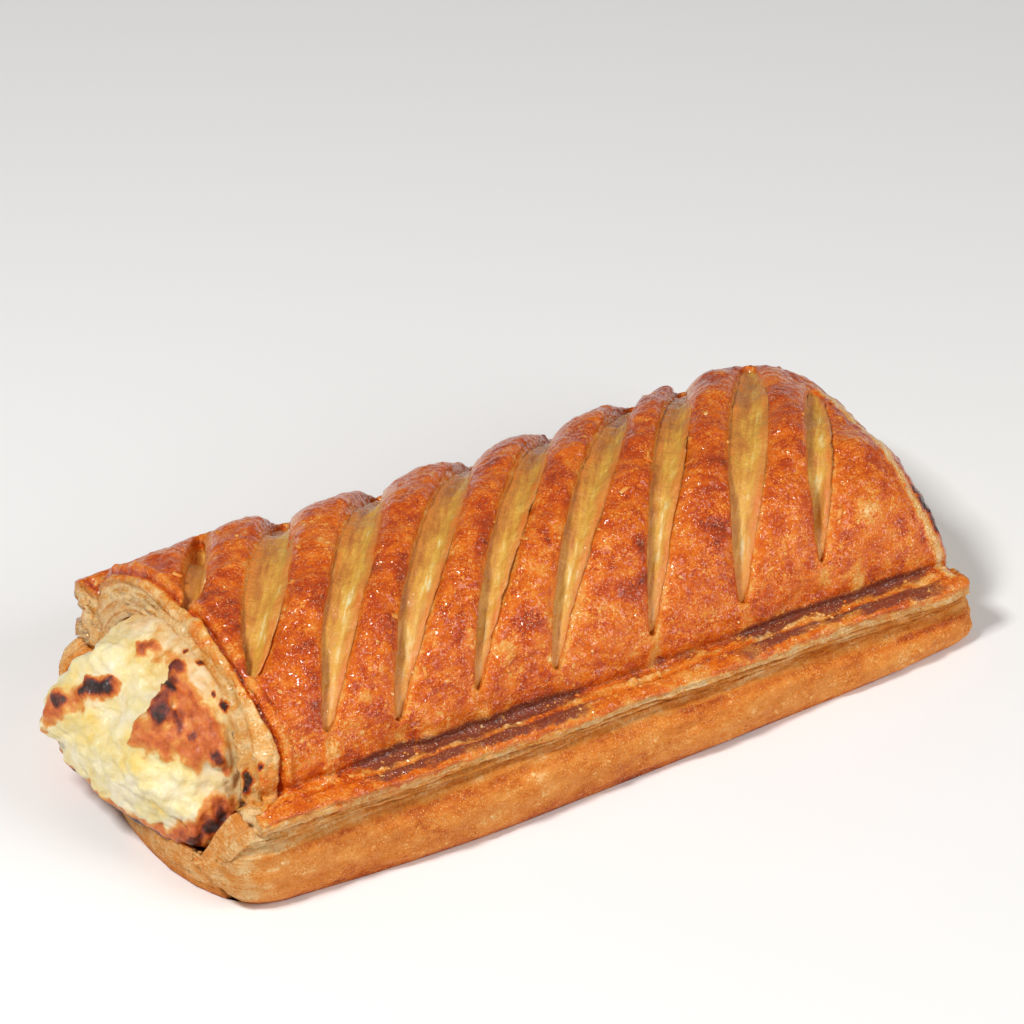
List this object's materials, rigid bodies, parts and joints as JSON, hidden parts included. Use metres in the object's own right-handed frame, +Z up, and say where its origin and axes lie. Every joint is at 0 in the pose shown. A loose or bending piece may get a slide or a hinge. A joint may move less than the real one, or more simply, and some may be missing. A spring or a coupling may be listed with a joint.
{
  "type": "cheese puff pastry",
  "caption": "Whole baked puff pastry parcel with slanted slits over a cheese filling that bursts out at one end; sits flat on its laminated base.",
  "frame": {"origin": "under the middle of the whole pastry, at the height of the flat underside", "axes": "+X along the length, from the end where the cheese bursts out furthest to the closed end; +Y across, from the side with the level seam to the side with the opened leaves; +Z up"},
  "size_m": [0.1556, 0.0738, 0.0388],
  "materials": {
    "baked_dough": "matt baked laminated dough, orange-tan with paler layered edges",
    "curd_cheese": "moist crumbly curd cheese, cream-yellow with toasted brown patches",
    "browned_crust": "egg-washed golden-brown crust, glossy and blistered"
  },
  "bodies": {
    "root": {"bottom_sheet": "baked_dough", "cheese_filling": "curd_cheese", "top_sheet": "browned_crust"}
  },
  "joints": []
}
